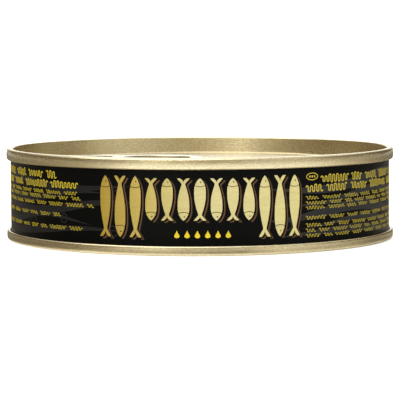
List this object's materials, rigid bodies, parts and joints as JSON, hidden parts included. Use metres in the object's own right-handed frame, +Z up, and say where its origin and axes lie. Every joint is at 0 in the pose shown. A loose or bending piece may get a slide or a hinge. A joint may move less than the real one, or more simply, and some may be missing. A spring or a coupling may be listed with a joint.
{
  "type": "round tin of sprats",
  "caption": "Shut round fish tin with a black printed wall, gold ends double seamed top and bottom, and a ring pull on the top panel.",
  "frame": {"origin": "centre of the bottom seam's ring, on the plane that the tin stands on", "axes": "+Z up along the tin's axis; -Y towards the middle of the printed front, so that the body's weld is at +Y"},
  "size_m": [0.1023, 0.1022, 0.0238],
  "materials": {
    "black_litho": null,
    "gold_lacquered_tinplate": "satin gold-lacquered tinplate with a fine grain",
    "tab_steel": "gold-lacquered steel, a little brighter than the ends",
    "print_gold": "gold print, darker to the left and paler to the right",
    "print_shadow": "brown drop shadow of the gold print",
    "print_yellow": "yellow print of the small marks",
    "print_grey": "dark grey background print"
  },
  "bodies": {
    "root": {"body": "black_litho", "top_end": "gold_lacquered_tinplate", "bottom_end": "gold_lacquered_tinplate", "pull_tab": "tab_steel"}
  },
  "joints": []
}
